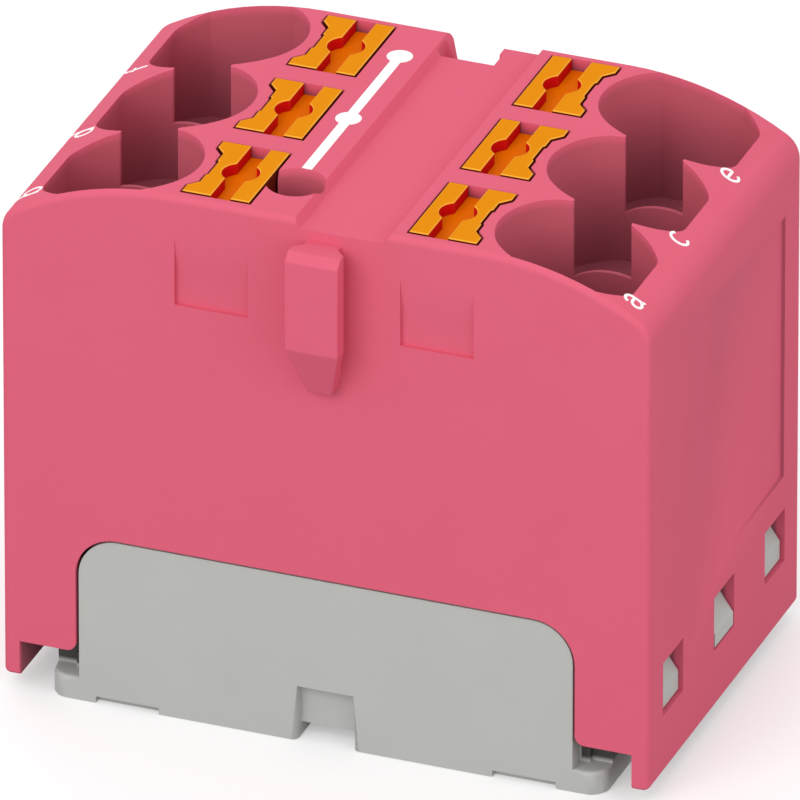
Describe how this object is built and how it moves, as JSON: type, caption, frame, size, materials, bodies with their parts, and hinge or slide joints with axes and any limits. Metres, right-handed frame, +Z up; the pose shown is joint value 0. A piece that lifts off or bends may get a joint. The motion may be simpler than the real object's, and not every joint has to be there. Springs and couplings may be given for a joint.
{
  "type": "push-in power distribution block",
  "caption": "Compact push-in distribution block with release levers, funnel-shaped conductor entries, a test hole, a joining key and a snap-in mounting base.",
  "frame": {"origin": "middle of the mounting face, under the middle of the housing", "axes": "+X along the length towards the end with positions a, c and e, +Y through the depth away from the key, +Z up"},
  "size_m": [0.0286, 0.0193, 0.0246],
  "materials": {
    "housing": "smooth moulded polyamide, slightly satin",
    "mounting_base": "smooth moulded polyamide, light grey",
    "busbar": "tin-plated copper, dull",
    "lever": "smooth moulded, orange",
    "spring": "stainless spring strip",
    "cage": "folded steel sheet"
  },
  "bodies": {
    "block": {"housing": "housing", "mounting_base": "mounting_base", "busbar": "busbar", "clamp_spring_a": "spring", "clamp_spring_b": "spring", "clamp_spring_c": "spring", "clamp_spring_d": "spring", "clamp_spring_e": "spring", "clamp_spring_f": "spring", "clamp_cage_a": "cage", "clamp_cage_b": "cage", "clamp_cage_c": "cage", "clamp_cage_d": "cage", "clamp_cage_e": "cage", "clamp_cage_f": "cage"},
    "lever_a": {"release_lever_a": "lever"},
    "lever_b": {"release_lever_b": "lever"},
    "lever_c": {"release_lever_c": "lever"},
    "lever_d": {"release_lever_d": "lever"},
    "lever_e": {"release_lever_e": "lever"},
    "lever_f": {"release_lever_f": "lever"}
  },
  "joints": [
    {"name": "press_lever_a", "type": "slide", "parent": "block", "child": "lever_a", "axis": [0, 0, -1], "range_m": [0, 0.0012], "stiffness_N_per_m": 4000, "springref_m": -0.0015, "deforming": ["clamp_spring_a"]},
    {"name": "press_lever_b", "type": "slide", "parent": "block", "child": "lever_b", "axis": [0, 0, -1], "range_m": [0, 0.0012], "stiffness_N_per_m": 4000, "springref_m": -0.0015, "deforming": ["clamp_spring_b"]},
    {"name": "press_lever_c", "type": "slide", "parent": "block", "child": "lever_c", "axis": [0, 0, -1], "range_m": [0, 0.0012], "stiffness_N_per_m": 4000, "springref_m": -0.0015, "deforming": ["clamp_spring_c"]},
    {"name": "press_lever_d", "type": "slide", "parent": "block", "child": "lever_d", "axis": [0, 0, -1], "range_m": [0, 0.0012], "stiffness_N_per_m": 4000, "springref_m": -0.0015, "deforming": ["clamp_spring_d"]},
    {"name": "press_lever_e", "type": "slide", "parent": "block", "child": "lever_e", "axis": [0, 0, -1], "range_m": [0, 0.0012], "stiffness_N_per_m": 4000, "springref_m": -0.0015, "deforming": ["clamp_spring_e"]},
    {"name": "press_lever_f", "type": "slide", "parent": "block", "child": "lever_f", "axis": [0, 0, -1], "range_m": [0, 0.0012], "stiffness_N_per_m": 4000, "springref_m": -0.0015, "deforming": ["clamp_spring_f"]}
  ]
}
